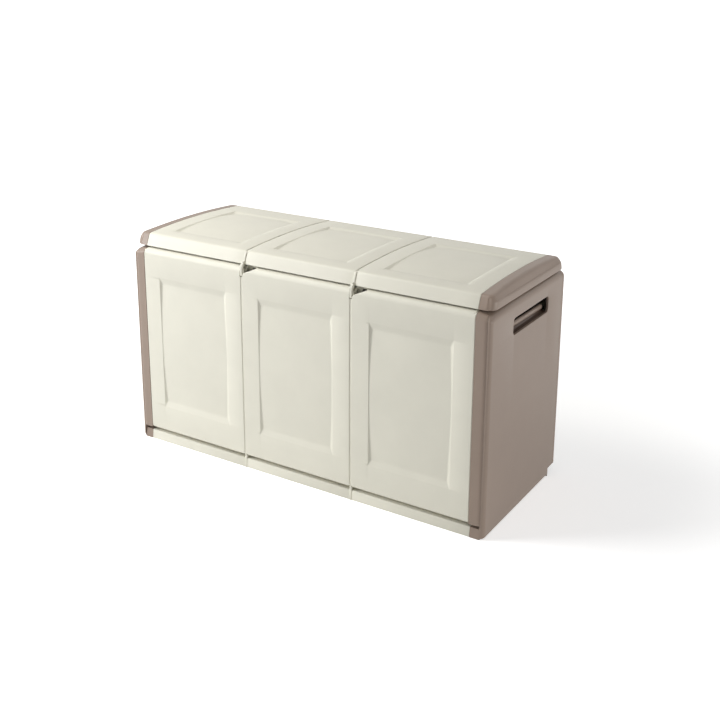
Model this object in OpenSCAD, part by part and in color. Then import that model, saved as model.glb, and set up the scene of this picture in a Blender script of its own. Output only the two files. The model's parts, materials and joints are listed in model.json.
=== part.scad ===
// Garden storage chest of hollow moulded panels, with a hinged lid.
// It stands on z = 0, with its length along X and its front facing -Y.

/* [Chest] */
// Overall length
chest_length = 1240; // [1100:10:1500]
// Overall depth, from the front panels to the back panels
chest_depth = 510; // [450:10:600]
// Overall height with the lid closed
chest_height = 700; // [600:10:800]
// Length of each end piece, along the front
end_length = 45; // [42:1:60]

/* [Mouldings] */
// Thickness of the outer skins
skin = 3.5; // [2.5:0.5:4.5]
// Thickness of the ribs, flanges and returns behind the skins
rib = 3; // [2:0.5:3.5]
// Gap between two neighbouring panels
joint_gap = 4; // [3:0.5:6]
// Gap between the outer panels and the end pieces
end_gap = 0.6; // [0.2:0.1:0.9]
// Play between pieces that are clipped together
play = 0.2; // [0.1:0.05:0.3]

/* [Panels] */
// Depth of the hollow front and back panels
panel_depth = 32; // [28:1:40]
// Radius of a panel's corners, seen from the front
panel_corner_r = 7; // [4:1:10]
// Radius along the top of the front and back panels
shoulder_r = 18; // [14:1:22]
// Radius under the front and back panels
panel_foot_r = 12; // [6:1:14]
// Margin between a panel's side and its sunk field
field_margin = 60; // [50:1:80]
// Margin below the sunk field
field_low_margin = 91; // [70:1:120]
// Margin above the sunk field
field_high_margin = 87; // [70:1:120]
// Depth of the field at its upper and lower edge
field_depth = 5; // [3:0.5:7]
// Depth of the field at half its height
field_mid_depth = 0.8; // [0.4:0.1:1.5]

/* [End pieces] */
// Radius of the upright corners
corner_r = 16; // [12:1:24]
// Radius along the top of the end faces
end_shoulder_r = 22; // [16:1:26]
// Radius along the foot of the end faces
end_foot_r = 10; // [6:1:14]
// Width of the rim that the lid's ends close on
end_rim = 32; // [28:1:38]
// Inset of the groove's end from the end face
groove_stop = 8; // [6:1:14]

/* [Base] */
// Height of the plinth
plinth_height = 27; // [22:1:36]
// Height of the groove above the plinth
groove_height = 8; // [7:0.5:12]
// Inset of the neck behind the groove
groove_inset = 33; // [30:1:38]
// Inset of the plinth at its top
plinth_top_inset = 21; // [18:1:24]
// Inset of the plinth at its foot
plinth_foot_inset = 11; // [8:1:16]
// How much further in the plinth's end joint lies than the panels' one
plinth_joint_offset = 5; // [2:1:8]
// Inset of the rear plinth, which clears a skirting board
rear_inset = 58; // [46:1:80]
// Height of the recess over the rear plinth
rear_recess = 26; // [18:1:30]
// Height of the upstands that hold the panels' feet
upstand = 15; // [10:1:25]

/* [Lid] */
// Height of the lid, from its lip to the middle of its crown
lid_height = 46; // [42:1:60]
// Gap between the body's rim and the lid's lip
lid_gap = 6; // [4:0.5:9]
// Radius of the crown, front to back
crown_r = 2800; // [2400:100:5000]
// Inset of the lip's foot from the front and back faces
lip_foot_inset = 14.5; // [12:0.5:18]
// Inset of the centre of the lip's upper round
lip_centre_inset = 37.7; // [34:0.1:42]
// Radius of the lip's upper round
lip_r = 12; // [9:1:13]
// Radius of the lid's corners, seen from above
lid_corner_r = 26; // [20:1:30]
// Radius along the top of the lid's end faces
lid_end_r = 24; // [16:1:28]
// Inset of the rib that the closed lid stands on
stop_inset = 28; // [26:0.5:29.5]
// Height of the returns at the lid panels' sides
lid_return = 12; // [8:1:16]
// Front margin of the lid's sunk fields, from the front face
lid_field_front = 75; // [65:1:100]
// Rear margin of the lid's sunk fields, from the back face
lid_field_rear = 125; // [100:1:150]
// Radius of the lid field's floor, front to back
lid_field_r = 1600; // [1500:50:2000]

/* [Hinges] */
// Distance between the two hinges of a panel
hinge_spacing = 220; // [160:10:280]
// Radius of the knuckles
knuckle_r = 7; // [6:0.5:7.5]
// Length of each knuckle
knuckle_length = 20; // [14:1:26]
// Gap between two knuckles
knuckle_gap = 0.5; // [0.3:0.1:1]
// Radius of the hinge pins
pin_r = 3; // [2.5:0.25:3.5]
// Radial clearance of the pin in the body's knuckles
pin_fit = 0.02; // [0.01:0.01:0.04]
// Radial clearance of the pin in the lid's knuckles
pin_play = 0.05; // [0.03:0.01:0.09]
// Radius of a pin's head
pin_head_r = 4.5; // [4:0.25:5]
// Length of a pin's head
pin_head_length = 2.5; // [1.5:0.5:4]
// Inset of the hinge axis from the back face
hinge_inset = 9; // [8:0.5:12]
// Height of the hinge axis above the body's rim
hinge_rise = 7; // [6.5:0.5:10]

/* [Joiners] */
// Half width of the flange behind the front and back panels
flange_half = 20; // [12:1:30]
// Half width of the clip over the floor panels
floor_flange_half = 12; // [8:1:20]
// Half width of the clip under the lid panels
lid_flange_half = 14; // [10:1:20]
// Inset of the strip between two panels from their faces
strip_inset = 4; // [2:0.5:6]
// Inset of the strip between two lid panels from their crown
lid_strip_inset = 2.5; // [1.5:0.5:3]
// Half width of the raised strip on the plinth
strip_half = 4; // [3:0.5:6]
// How far the raised strip stands proud of the plinth
strip_proud = 2; // [1:0.5:3]
// How far the bead on the lid's lip stands proud of it
bead_proud = 1.5; // [0.5:0.25:2.5]
// Height over which the tab's front slopes back to the bead
bead_slope = 14; // [10:1:18]
// Distance from the crown's top down to the bead's upper end
bead_drop = 10; // [8:1:14]

/* [Lock points] */
// Width of the lid's tab
tab_width = 8; // [6:0.5:10]
// Depth of the tab, front to back
tab_depth = 16; // [14:1:18]
// Inset of the tab's front edge from the front face
tab_inset = 1; // [0.5:0.5:3]
// How far the tab hangs below the lid's lip
tab_drop = 38; // [34:1:44]
// Radius of the padlock's eye
eye_r = 4; // [3:0.5:4.5]
// Distance from the lid's lip down to the eye
eye_drop = 20; // [18:1:22]
// Room beside the tab
tab_side_room = 2; // [1.5:0.5:4]
// Room below the tab
tab_foot_room = 4; // [2:0.5:6]
// Thickness of the body's ear beside the tab
ear_width = 4; // [3:0.5:5]
// Gap between tab and ear
ear_gap = 0.8; // [0.5:0.1:1.5]
// Length of the finger scoop to the right of a tab
scoop_length = 46; // [40:1:60]
// Depth of the scoop, front to back
scoop_depth = 23; // [21:0.5:25]
// Height of the scoop's floor above the tab's foot, beside the tab
scoop_rise = 3.5; // [2:0.5:5]
// Height of the scoop's far end below the body's rim
scoop_end_drop = 5; // [4:0.5:8]
// Thickness of the bracket that carries the ear
bracket = 4; // [3:0.5:5]

/* [Handles] */
// Length of the hand slot
slot_length = 242; // [160:2:260]
// Height of the hand slot
slot_height = 48; // [36:1:56]
// Distance from the body's rim down to the slot
slot_drop = 50; // [44:1:80]
// Offset of the slot's middle towards the back
slot_offset = 9; // [0:1:20]
// Radius of the slot's corners
slot_corner_r = 12; // [8:1:16]
// Depth of the cup behind the slot
cup_depth = 19; // [16:1:21]
// Wall of the cup
cup_wall = 3; // [2:0.5:3.5]
// Distance from the slot's top down to the cup's rim
cup_rim_drop = 17; // [12:1:22]

/* [Hidden] */
$fn = 64;
arc_fn = 1440;
field_steps = 12;
cream = "#E6E3D8";
taupe = "#968A80";
brown = "#4A3B33";
steel = "#A9ABAC";

half_l = chest_length / 2;
half_d = chest_depth / 2;
cream_end = half_l - end_length;
module_length = 2 * cream_end / 3;
panel_back = half_d - panel_depth;
panel_foot = plinth_height + groove_height;
lip_foot = chest_height - lid_height;
body_top = lip_foot - lid_gap;
neck = half_d - groove_inset;
over = 1;

// Lid section: the front upper round and the lean of the lip that touches it
crown_z = chest_height - crown_r;
lip_centre = [-(half_d - lip_centre_inset),
    crown_z + sqrt(pow(crown_r, 2) - pow(half_d - lip_centre_inset, 2)) - lip_r];
lip_start = [-(half_d - lip_foot_inset), lip_foot];
lip_run = lip_centre - lip_start;
lip_lean = atan2(lip_run.y, lip_run.x) + asin(lip_r / norm(lip_run));

// Hinge axis
axis_y = half_d - hinge_inset;
axis_z = body_top + hinge_rise;
hinge_half = 1.5 * knuckle_length + knuckle_gap;

// Lock points
tab_front = -(half_d - tab_inset);
tab_back = tab_front + tab_depth;
tab_foot = lip_foot - tab_drop;
eye_y = tab_front + tab_depth / 2;
eye_z = lip_foot - eye_drop;
notch_half = tab_width / 2 + tab_side_room;
notch_foot = tab_foot - tab_foot_room;
ear_x = tab_width / 2 + ear_gap;
spine_half = joint_gap / 2 - play / 2;
scoop_back = -half_d + scoop_depth;
bracket_front = scoop_back - bracket - play;

// Handles
slot_top = body_top - slot_drop;
slot_foot = slot_top - slot_height;
inner_face = half_l - skin;

function panel_middle(i) = i * module_length;
function panel_start(i) = panel_middle(i) - module_length / 2 + (i == -1 ? end_gap : joint_gap) / 2;
function panel_end(i) = panel_middle(i) + module_length / 2 - (i == 1 ? end_gap : joint_gap) / 2;
function joint_x(side) = side * module_length / 2;
// Place of the lip's face at height z, moved inwards by t
function lip_y(z, t) = lip_start.x + t / sin(lip_lean) + (z - lip_foot) / tan(lip_lean);
// Inside and outside of the plinth, as points across the chest
function plinth_outside() = [[-(half_d - plinth_foot_inset), 0],
    [-(half_d - plinth_top_inset), plinth_height]];
// Outline of the tab's notch and the finger scoop, widened by m
function scoop_outline(m) = [[-notch_half - m, notch_foot - m], [notch_half + 0.5 + m, notch_foot - m],
    [notch_half + 0.5 + m, tab_foot + scoop_rise - m],
    [scoop_length * 0.43 + m, tab_foot + 3 * scoop_rise - m],
    [scoop_length + m, body_top - scoop_end_drop - m], [scoop_length + m, chest_height],
    [-notch_half - m, chest_height]];

// Extrusions of an outline that is drawn across the chest, upright
module along_x(x0, x1) {
    translate([x0, 0, 0]) rotate([90, 0, 90]) linear_extrude(x1 - x0) children();
}
module along_y(y0, y1) {
    translate([0, y1, 0]) rotate([90, 0, 0]) linear_extrude(y1 - y0) children();
}
module along_z(z0, z1) {
    translate([0, 0, z0]) linear_extrude(z1 - z0) children();
}
module box(low, high) {
    translate(low) cube(high - low);
}
module rod(x0, x1, y, z, r) {
    translate([x0, y, z]) rotate([0, 90, 0]) cylinder(h = x1 - x0, r = r);
}
module flip_x(flip) {
    if (flip) mirror([1, 0, 0]) children();
    else children();
}

// Rectangle whose corners have radii r, from the lower left one round to the upper left one
module rounded_square(low, high, r) {
    corners = [[low.x, low.y, 1, 1], [high.x, low.y, -1, 1],
        [high.x, high.y, -1, -1], [low.x, high.y, 1, -1]];
    difference() {
        translate(low) square(high - low);
        for (i = [0:3]) {
            if (r[i] > 0) {
                inwards = [corners[i][2], corners[i][3]] * r[i];
                translate([corners[i].x, corners[i].y]) difference() {
                    square(2 * r[i], center = true);
                    translate(inwards) circle(r[i]);
                }
            }
        }
    }
}

// Upright section of a front panel, moved inwards by t
module panel_section(t, back) {
    rounded_square([-half_d + t, panel_foot + t], [back, body_top - t],
        [panel_foot_r - t, 0, 0, shoulder_r - t]);
}

// Field sunk into a front panel, deepest along its upper and lower edge
module field_cut(i) {
    low = panel_foot + field_low_margin;
    high = body_top - field_high_margin;
    half = module_length / 2 - field_margin;
    along_x(panel_middle(i) - half, panel_middle(i) + half) polygon([
        [-half_d - over, low],
        for (step = [-field_steps:field_steps])
            [-half_d + field_mid_depth + (field_depth - field_mid_depth) * pow(step / field_steps, 2),
                (low + high + (high - low) * step / field_steps) / 2],
        [-half_d - over, high]]);
}

// What stays solid behind a front panel's skin: the field's floor and a grid of ribs
module panel_backing(i) {
    half = module_length / 2 - field_margin + rib;
    low = panel_foot + field_low_margin - rib;
    high = body_top - field_high_margin + rib;
    box([panel_middle(i) - half, -half_d, low],
        [panel_middle(i) + half, -half_d + field_depth + skin, high]);
    rib_back = -panel_back - rib;
    for (x = [-1, 1] * module_length / 6)
        box([panel_middle(i) + x - rib / 2, -half_d, panel_foot],
            [panel_middle(i) + x + rib / 2, rib_back, body_top]);
    for (z = [1, 2] * (body_top - panel_foot) / 3 + [panel_foot, panel_foot])
        box([panel_start(i), -half_d, z - rib / 2], [panel_end(i), rib_back, z + rib / 2]);
}

// Hollow panel with its face towards -Y
module panel_shell(i) {
    difference() {
        intersection() {
            along_x(panel_start(i), panel_end(i)) panel_section(0, -panel_back);
            along_y(-half_d, -panel_back) rounded_square([panel_start(i), panel_foot],
                [panel_end(i), body_top], [1, 1, 1, 1] * panel_corner_r);
        }
        difference() {
            along_x(panel_start(i) + rib, panel_end(i) - rib) panel_section(skin, -panel_back + over);
            panel_backing(i);
            children();
        }
        field_cut(i);
    }
}

// Notch and scoop beside each tab that a front panel meets
module scoops(i, m) {
    for (side = [-1, 1])
        if (abs(joint_x(side) - panel_middle(i)) < module_length)
            translate([joint_x(side), 0, 0])
                along_y(-half_d - over, scoop_back + m) polygon(scoop_outline(m));
}

module front_panel(i) {
    color(cream) difference() {
        panel_shell(i) scoops(i, rib);
        scoops(i, 0);
    }
}

// Hinges of panel i stand at these places along X
function hinge_places(i) = [panel_middle(i) - hinge_spacing / 2, panel_middle(i) + hinge_spacing / 2];

module back_panel(i) {
    color(cream) difference() {
        union() {
            mirror([0, 1, 0]) panel_shell(i);
            for (x = hinge_places(i), side = [-1, 1]) {
                x0 = x + side * (knuckle_length + knuckle_gap) - knuckle_length / 2;
                rod(x0, x0 + knuckle_length, axis_y, axis_z, knuckle_r);
                box([x0, axis_y - knuckle_r, body_top - shoulder_r * 0.65],
                    [x0 + knuckle_length, axis_y + knuckle_r, axis_z]);
            }
        }
        for (x = hinge_places(i))
            rod(x - hinge_half - over, x + hinge_half + over, axis_y, axis_z, pin_r + pin_fit);
    }
}

// Six pins, each with a head at its right end
module hinge_pins() {
    color(steel) for (i = [-1:1], x = hinge_places(i)) {
        rod(x - hinge_half, x + hinge_half, axis_y, axis_z, pin_r);
        rod(x + hinge_half, x + hinge_half + pin_head_length, axis_y, axis_z, pin_head_r);
    }
}

// Section of the space inside the plinth, open below
module plinth_inside() {
    foot = plinth_outside()[0];
    top = plinth_outside()[1];
    polygon([foot + [skin + rib / 3, -over], [top.x + skin, plinth_height - skin],
        [-neck + skin, plinth_height - skin], [-neck + skin, panel_foot - skin],
        [half_d - rear_inset - skin, panel_foot - skin], [half_d - rear_inset - skin, -over]]);
}

module floor_panel(i) {
    x0 = panel_start(i) + (i == -1 ? plinth_joint_offset : 0);
    x1 = panel_end(i) - (i == 1 ? plinth_joint_offset : 0);
    seat = half_d - (half_d - panel_back + plinth_top_inset) / 2;
    color(cream) difference() {
        union() {
            along_x(x0, x1) union() {
                polygon([plinth_outside()[0], plinth_outside()[1], [-neck, plinth_height],
                    [-neck, panel_foot], [half_d - rear_inset, panel_foot], [half_d - rear_inset, 0]]);
                translate([-seat, panel_foot - skin]) square([2 * seat, skin]);
            }
            for (side = [-1, 1])
                box([x0, side * (panel_back - play - rib / 2) - rib / 2, panel_foot - skin],
                    [x1, side * (panel_back - play - rib / 2) + rib / 2, panel_foot + upstand]);
        }
        difference() {
            along_x(x0 + rib, x1 - rib) plinth_inside();
            for (y = [-chest_depth / 6, chest_depth / 9])
                box([x0, y - rib / 2, 0], [x1, y + rib / 2, panel_foot]);
        }
    }
}

// Strip between two front panels, which also bridges the groove and runs down the plinth
module front_joiner(side) {
    foot = plinth_outside()[0] - [strip_proud, 0];
    top = plinth_outside()[1] - [strip_proud, 0];
    ledge = -half_d + (half_d - panel_back + plinth_top_inset) / 2 - play;
    color(cream) translate([joint_x(side), 0, 0]) {
        along_x(-spine_half, spine_half) polygon([foot, top, [top.x, panel_foot],
            [-half_d + strip_inset, panel_foot + panel_foot_r], [-half_d + strip_inset, notch_foot - play],
            [bracket_front, notch_foot - play], [bracket_front, body_top - rib],
            [-panel_back + rib, body_top - rib], [-panel_back + rib, 0]]);
        along_x(-strip_half, strip_half) polygon([foot, top, [top.x, panel_foot - play],
            [ledge, panel_foot - play], [ledge, plinth_height + play],
            [top.x + strip_proud - play, plinth_height + play], [foot.x + strip_proud - play, 0]]);
        joiner_flange(-1);
        lock_ear();
    }
}

// Plate that clips behind the two panels that a joiner holds
module joiner_flange(face) {
    near = face * (panel_back - play);
    far = near - face * rib;
    box([-flange_half, min(near, far), panel_foot + upstand + rib],
        [flange_half, max(near, far), body_top - 2 * rib]);
}

// Ear on the right of the tab, with the padlock's eye
module lock_ear() {
    ear_foot = tab_foot + 1.5 * scoop_rise;
    ear_top = body_top - scoop_end_drop;
    difference() {
        union() {
            box([-spine_half, bracket_front, ear_foot],
                [ear_x + ear_width, bracket_front + bracket, ear_top]);
            box([ear_x, tab_front + tab_side_room, ear_foot],
                [ear_x + ear_width, bracket_front + bracket, ear_top]);
        }
        rod(ear_x - over, ear_x + ear_width + over, eye_y, eye_z, eye_r);
    }
}

module back_joiner(side) {
    color(cream) translate([joint_x(side), 0, 0]) {
        box([-spine_half, panel_back - rib, panel_foot + play],
            [spine_half, half_d - strip_inset - shoulder_r / 2, body_top - rib]);
        joiner_flange(1);
    }
}

// Strip that clips the floor panels together, from above and below
module floor_joiner(side) {
    front = -neck + skin + rib;
    back = half_d - rear_inset - skin - rib;
    color(cream) translate([joint_x(side), 0, 0]) {
        box([-floor_flange_half, front, panel_foot + play],
            [floor_flange_half, back, panel_foot + play + rib]);
        box([-spine_half, front, rib], [spine_half, back, panel_foot + play + rib]);
    }
}

// Section of the lid from front to back, moved inwards by t, down to the height foot
module lid_section(t, foot) {
    touch = lip_centre + (lip_r - t) * [-sin(lip_lean), cos(lip_lean)];
    front = [[lip_y(foot, t), foot], touch, lip_centre];
    polygon([front[0], front[1], front[2],
        [-front[2].x, front[2].y], [-front[1].x, front[1].y], [-front[0].x, front[0].y]]);
    for (y = [-1, 1] * lip_centre.x) translate([y, lip_centre.y]) circle(lip_r - t);
    intersection() {
        translate([0, crown_z]) circle(crown_r - t, $fn = arc_fn);
        translate([lip_centre.x, lip_centre.y]) square([-2 * lip_centre.x, lid_height]);
    }
}

// Section under the lid panels' side returns, clear of the lips
module lid_clear_section(depth) {
    clear = -lip_centre.x - 2;
    intersection() {
        translate([0, crown_z]) circle(crown_r - depth, $fn = arc_fn);
        translate([-clear, lip_foot - over]) square([2 * clear, lid_height]);
    }
}

// Ribs that the closed lid stands on, along the front and back rims
module stop_ribs(x0, x1) {
    intersection() {
        for (side = [-1, 1])
            box([x0, side * (half_d - stop_inset - rib / 2) - rib / 2, body_top + play + 0.1],
                [x1, side * (half_d - stop_inset - rib / 2) + rib / 2, chest_height]);
        along_x(x0, x1) lid_section(0, body_top);
    }
}

module lid_field_cut(i) {
    half = module_length / 2 - field_margin;
    along_x(panel_middle(i) - half, panel_middle(i) + half) difference() {
        translate([-half_d + lid_field_front, lip_centre.y])
            square([chest_depth - lid_field_front - lid_field_rear, lid_height]);
        translate([0, chest_height - field_mid_depth - lid_field_r])
            circle(lid_field_r, $fn = arc_fn);
    }
}

module lid_panel(i) {
    x0 = panel_start(i);
    x1 = panel_end(i);
    half = module_length / 2 - field_margin + rib;
    color(cream) difference() {
        union() {
            difference() {
                along_x(x0, x1) lid_section(0, lip_foot);
                difference() {
                    along_x(x0 + rib, x1 - rib) lid_section(skin, lip_foot - over);
                    box([panel_middle(i) - half, -half_d + lid_field_front - rib, lip_centre.y],
                        [panel_middle(i) + half, half_d - lid_field_rear + rib, chest_height]);
                }
                along_x(x0 - over, x1 + over) lid_clear_section(skin + lid_return);
            }
            stop_ribs(x0, x1);
            for (x = hinge_places(i)) {
                rod(x - knuckle_length / 2, x + knuckle_length / 2, axis_y, axis_z, knuckle_r);
                box([x - knuckle_length / 2, -lip_start.x - 2 * skin, axis_z],
                    [x + knuckle_length / 2, axis_y, axis_z + knuckle_r]);
            }
        }
        lid_field_cut(i);
        for (x = hinge_places(i)) {
            rod(x - hinge_half, x + hinge_half, axis_y, axis_z, pin_r + pin_play);
            for (side = [-1, 1]) knuckle_notch(x, side);
        }
    }
}

// Room in the lid's rear lip for a knuckle of the body and the pin's head
module knuckle_notch(x, side) {
    near = x + side * (knuckle_length + knuckle_gap) / 2;
    far = x + side * (hinge_half + pin_head_length + 2);
    box([min(near, far), axis_y - knuckle_r - 3, body_top], [max(near, far), half_d, axis_z + knuckle_r + 3]);
}

// Outside of the lid's right end piece, moved inwards by t
module lid_end_body(x0, t, foot) {
    intersection() {
        along_x(x0, half_l) lid_section(t, foot);
        along_z(foot, chest_height) rounded_square([0, lip_start.x + t], [half_l - t, -lip_start.x - t],
            [0, lid_corner_r - t, lid_corner_r - t, 0]);
        along_y(-half_d, half_d) rounded_square([0, foot], [half_l - t, chest_height - t],
            [0, 0, lid_end_r - t, 0]);
    }
}

module lid_end(left) {
    x0 = cream_end + end_gap / 2;
    rim = half_l - end_shoulder_r - rib - 1;
    color(taupe) flip_x(left) {
        difference() {
            lid_end_body(x0, 0, lip_foot);
            lid_end_body(x0 + rib, skin, lip_foot - over);
            along_x(x0 - over, rim) lid_clear_section(skin + lid_return);
        }
        intersection() {
            union() {
                stop_ribs(x0, rim + rib);
                box([rim, -half_d + stop_inset, body_top + play + 0.1],
                    [rim + rib, half_d - stop_inset, chest_height]);
            }
            lid_end_body(x0, 0, body_top);
        }
    }
}

// Strip between two lid panels, with the lock tab at its front
module lid_joiner(side) {
    flange_depth = skin + lid_return + play;
    bead_foot = lip_foot + bead_slope;
    bead_top = chest_height - bead_drop;
    color(cream) translate([joint_x(side), 0, 0]) difference() {
        union() {
            difference() {
                along_x(-spine_half, spine_half) lid_section(lid_strip_inset, lip_foot);
                along_x(-spine_half - over, spine_half + over) lid_clear_section(flange_depth + rib);
            }
            difference() {
                along_x(-lid_flange_half, lid_flange_half) lid_clear_section(flange_depth);
                along_x(-lid_flange_half - over, lid_flange_half + over)
                    lid_clear_section(flange_depth + rib);
            }
            difference() {
                along_x(-tab_width / 2, tab_width / 2) {
                    translate([eye_y, tab_foot + tab_depth / 2]) circle(tab_depth / 2);
                    translate([tab_front, tab_foot + tab_depth / 2])
                        square([tab_depth, tab_drop - tab_depth / 2 - 2]);
                    polygon([[tab_front, lip_foot - 3], [lip_y(bead_foot, -bead_proud), bead_foot],
                        [lip_y(bead_top, -bead_proud), bead_top], [lip_y(bead_top, 2 * skin), bead_top],
                        [lip_y(lip_foot, 2 * skin), lip_foot], [tab_back, lip_foot],
                        [tab_back, lip_foot - 3]]);
                }
                for (x = [-1, 1] * (spine_half + tab_width) / 2)
                    translate([x, 0, 0]) along_x(-(tab_width - spine_half) / 2, (tab_width - spine_half) / 2)
                        lid_section(-play, lip_foot - play);
            }
        }
        rod(-tab_width, tab_width, eye_y, eye_z, eye_r);
    }
}

// Section of an end piece from its inner edge to its end face, moved inwards by t
module end_section(t) {
    rounded_square([0, 0], [half_l - t, body_top - t], [0, end_foot_r, end_shoulder_r - t, 0]);
}

// Outside of an end piece, moved inwards by t
module end_body(x0, t) {
    intersection() {
        along_y(-half_d, half_d) end_section(t);
        along_z(0, body_top) rounded_square([x0, -half_d + t], [half_l - t, half_d - t],
            [0, corner_r - t, corner_r - t, 0]);
        along_x(x0, half_l) rounded_square([-half_d + t, 0], [half_d - t, body_top - t],
            [0, 0, shoulder_r - t, shoulder_r - t]);
    }
}

module end_panel(left) {
    edge = cream_end + end_gap / 2;
    plinth_edge = edge - plinth_joint_offset;
    slot_y = [slot_offset - slot_length / 2, slot_offset + slot_length / 2];
    color(taupe) flip_x(left) {
        difference() {
            end_body(plinth_edge, 0);
            // The wall over the plinth starts further out
            box([0, -half_d - over, plinth_height], [edge, half_d + over, body_top + over]);
            // Space behind the front and rear strips, then the space between them
            intersection() {
                end_body(edge + rib, skin);
                box([edge + rib, -half_d, panel_foot + skin], [half_l, half_d, body_top]);
            }
            intersection() {
                end_body(0, skin);
                box([edge - over, -panel_back, panel_foot], [half_l, panel_back, body_top]);
            }
            box([edge - over, -panel_back, panel_foot], [half_l - end_rim, panel_back, body_top + over]);
            // Groove and leaning plinth face, up to the corner's roll
            along_x(0, half_l - groove_stop) polygon([[-half_d - over, -over],
                plinth_outside()[0] - [0, over], plinth_outside()[0], plinth_outside()[1],
                [-neck, plinth_height], [-neck, panel_foot], [-half_d - over, panel_foot]]);
            intersection() {
                along_x(plinth_edge + rib, half_l - end_foot_r - rib) plinth_inside();
                box([plinth_edge, -half_d + corner_r, -over], [half_l, half_d, panel_foot]);
            }
            box([0, half_d - rear_inset, -over], [half_l + over, half_d + over, rear_recess]);
            along_x(half_l - end_rim, half_l + over) rounded_square([slot_y[0], slot_foot],
                [slot_y[1], slot_top], [1, 1, 1, 1] * slot_corner_r);
        }
        // Floor between the wall and the floor panel
        box([edge, -neck, panel_foot - skin], [inner_face, half_d - rear_inset, panel_foot]);
        // Upright ribs on the end face, below the slot
        for (y = [-2, -1, 0, 1, 2] * chest_depth / 6)
            box([inner_face - 2 * rib, y - rib / 2, panel_foot - skin],
                [inner_face + skin / 2, y + rib / 2, slot_foot - 4 * cup_wall]);
    }
}

// Open cup behind the hand slot: a ledge, a back plate and two webs
module grip_cup(left) {
    outside = inner_face - play;
    inside = outside - cup_depth - cup_wall;
    y0 = slot_offset - slot_length / 2 - cup_wall;
    y1 = slot_offset + slot_length / 2 + cup_wall;
    rim_z = slot_top - cup_rim_drop;
    color(brown) flip_x(left) {
        box([inside, y0, slot_foot - cup_wall], [outside, y1, slot_foot]);
        box([inside, y0, slot_foot - cup_wall], [inside + cup_wall, y1, rim_z]);
        for (y = [y0, y1 - cup_wall])
            box([inside, y, slot_foot - cup_wall], [outside, y + cup_wall, rim_z]);
    }
}

end_panel(true);  // left_end_panel
end_panel(false);  // right_end_panel
grip_cup(true);  // left_grip_cup
grip_cup(false);  // right_grip_cup
front_panel(-1);  // front_panel_left
front_panel(0);  // front_panel_centre
front_panel(1);  // front_panel_right
back_panel(-1);  // back_panel_left
back_panel(0);  // back_panel_centre
back_panel(1);  // back_panel_right
floor_panel(-1);  // floor_panel_left
floor_panel(0);  // floor_panel_centre
floor_panel(1);  // floor_panel_right
front_joiner(-1);  // front_joiner_left
front_joiner(1);  // front_joiner_right
back_joiner(-1);  // back_joiner_left
back_joiner(1);  // back_joiner_right
floor_joiner(-1);  // floor_joiner_left
floor_joiner(1);  // floor_joiner_right
hinge_pins();
lid_panel(-1);  // lid_panel_left
lid_panel(0);  // lid_panel_centre
lid_panel(1);  // lid_panel_right
lid_end(true);  // lid_end_left
lid_end(false);  // lid_end_right
lid_joiner(-1);  // lid_joiner_left
lid_joiner(1);  // lid_joiner_right
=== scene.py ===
"""Garden storage chest of moulded resin panels, dressed around its fixed frame."""

import json
import math
from types import SimpleNamespace

import bmesh
import bpy
from bmesh.types import BMEdge, BMFace, BMVert
from bpy.props import FloatProperty, FloatVectorProperty, PointerProperty
from bpy.types import Node, NodeSocket, Operator, Panel, PropertyGroup, Scene
from mathutils import Matrix, Vector


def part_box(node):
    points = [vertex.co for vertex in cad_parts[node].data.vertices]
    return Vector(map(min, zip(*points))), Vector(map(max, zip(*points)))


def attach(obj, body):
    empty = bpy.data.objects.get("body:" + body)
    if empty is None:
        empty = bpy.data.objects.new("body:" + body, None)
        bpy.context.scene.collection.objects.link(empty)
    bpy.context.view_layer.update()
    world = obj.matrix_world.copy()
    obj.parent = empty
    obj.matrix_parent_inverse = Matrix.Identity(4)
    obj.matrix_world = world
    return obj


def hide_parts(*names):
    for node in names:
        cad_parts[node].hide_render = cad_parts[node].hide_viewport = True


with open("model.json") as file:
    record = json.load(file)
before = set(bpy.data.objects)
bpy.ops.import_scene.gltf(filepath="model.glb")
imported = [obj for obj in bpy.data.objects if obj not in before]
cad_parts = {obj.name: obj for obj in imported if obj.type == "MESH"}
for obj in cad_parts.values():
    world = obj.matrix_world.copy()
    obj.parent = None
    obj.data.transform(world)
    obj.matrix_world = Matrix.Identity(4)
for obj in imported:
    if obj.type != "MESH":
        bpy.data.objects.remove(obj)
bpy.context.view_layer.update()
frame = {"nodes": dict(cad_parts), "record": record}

bl_info = {
    "name": "Garden Storage Chest",
    "version": (1, 0, 0),
    "blender": (4, 5, 0),
    "location": "3D View > Sidebar > Chest",
    "description": "Dresses the frame of a garden storage chest with its moulded panels, lid and stage",
    "category": "Add Mesh",
}

MM = 0.001


def tint(code):
    """Linear colour of an sRGB hex value."""
    parts = [int(code[i : i + 2], 16) / 255 for i in (1, 3, 5)]
    return [p / 12.92 if p <= 0.04045 else ((p + 0.055) / 1.055) ** 2.4 for p in parts]


def length(name, default, description):
    """Property for a length, with its default in millimetres."""
    return FloatProperty(name=name, description=description, default=default * MM, min=0, unit="LENGTH")


def colour(name, default, description):
    """Property for a colour, with its default as an sRGB hex value."""
    return FloatVectorProperty(
        name=name, description=description, default=tint(default), subtype="COLOR", size=3, min=0, max=1
    )


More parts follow.
